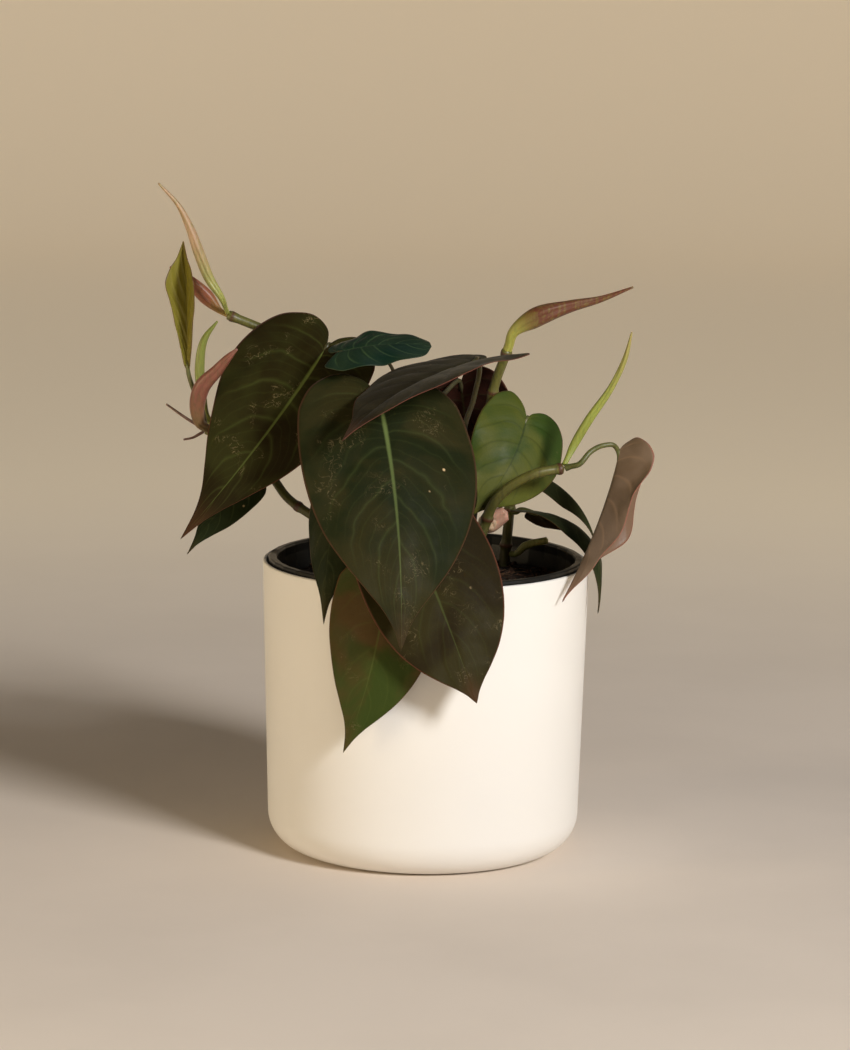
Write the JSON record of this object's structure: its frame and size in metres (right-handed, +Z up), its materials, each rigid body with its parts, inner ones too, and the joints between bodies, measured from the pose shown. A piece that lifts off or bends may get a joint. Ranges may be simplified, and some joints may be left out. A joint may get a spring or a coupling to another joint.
{
  "type": "potted philodendron",
  "caption": "Velvet-leaf philodendron with arching vines and drooping heart-shaped leaves, growing in a black nursery pot inside a plain round white cover pot.",
  "frame": {"origin": "centre of the cover pot's flat foot, on the surface it stands on", "axes": "+Z up along the pot's axis, +X to the right and -Y to the front, where the largest leaves hang over the rim"},
  "size_m": [0.194, 0.1641, 0.2653],
  "materials": {
    "white_shell": "satin white, smooth",
    "black_plastic": "thin moulded black plastic",
    "peat_and_bark": "dark peat with bark and coir chips",
    "dark_leaf": "velvety dark olive leaf with paler veins",
    "green_leaf": "mid-green leaf, softly sheened",
    "bronze_leaf": "young copper-brown leaf with a mauve sheen",
    "green_stem": "smooth olive-green stem with brown node rings",
    "fresh_shoot": "yellow-green waxy shoot",
    "dry_sheath": "pinkish-brown papery sheath and thin roots"
  },
  "bodies": {
    "root": {"cover_pot": "white_shell", "nursery_pot": "black_plastic", "potting_soil": "peat_and_bark", "vine_left_high": "green_stem", "vine_left_low": "green_stem", "vine_centre": "green_stem", "vine_right_high": "green_stem", "vine_right": "green_stem", "vine_right_back": "green_stem", "sheath_left_high": "dry_sheath", "spear_left_high": "fresh_shoot", "sheath_left_low": "dry_sheath", "spear_left_low": "fresh_shoot", "spear_right": "fresh_shoot", "leaf_unfurling": "bronze_leaf", "sheath_old": "dry_sheath", "stalk_stub": "fresh_shoot", "aerial_root_upper": "dry_sheath", "aerial_root_lower": "dry_sheath", "leaf_front": "dark_leaf", "leaf_front_lower": "dark_leaf", "leaf_front_lowest": "dark_leaf", "leaf_left": "dark_leaf", "leaf_left_behind": "dark_leaf", "leaf_centre_left": "dark_leaf", "leaf_top": "dark_leaf", "leaf_top_small": "dark_leaf", "leaf_right": "green_leaf", "leaf_centre_back": "dark_leaf", "leaf_right_back_high": "dark_leaf", "leaf_right_back_low": "dark_leaf", "leaf_right_young": "bronze_leaf", "leaf_left_young": "bronze_leaf"}
  },
  "joints": []
}
